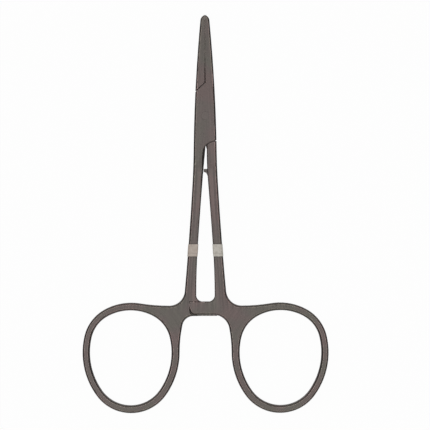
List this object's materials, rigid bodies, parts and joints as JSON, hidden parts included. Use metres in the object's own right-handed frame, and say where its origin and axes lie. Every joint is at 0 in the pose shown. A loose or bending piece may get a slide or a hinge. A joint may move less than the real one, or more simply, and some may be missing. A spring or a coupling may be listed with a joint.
{
  "type": "hemostat forceps",
  "caption": "Slim straight hemostat forceps with a box lock, oval finger rings, a ratchet between the shanks, serrated jaws and a pale marking band round each shank.",
  "frame": {"origin": "on the pivot's axis, at the back face of the box lock, on which the forceps lie", "axes": "+Y along the closed jaws towards their tips, +Z along the pivot towards the front face"},
  "size_m": [0.0784, 0.1269, 0.0046],
  "materials": {
    "coated_steel": "satin, dark warm grey coating, finely brushed along the shanks and rings",
    "pivot_steel": "satin, ground flush and coated with the box",
    "marking_tape": "matte, slightly worn pale tape"
  },
  "bodies": {
    "female_side": {"female_half": "coated_steel", "box_pin": "pivot_steel", "left_band": "marking_tape"},
    "male_side": {"male_half": "coated_steel", "right_band": "marking_tape"}
  },
  "joints": [
    {"name": "box_lock_hinge", "type": "hinge", "parent": "female_side", "child": "male_side", "pos_m": [0, 0, 0.0023], "axis": [0, 0, 1], "range_deg": [0, 70]}
  ]
}
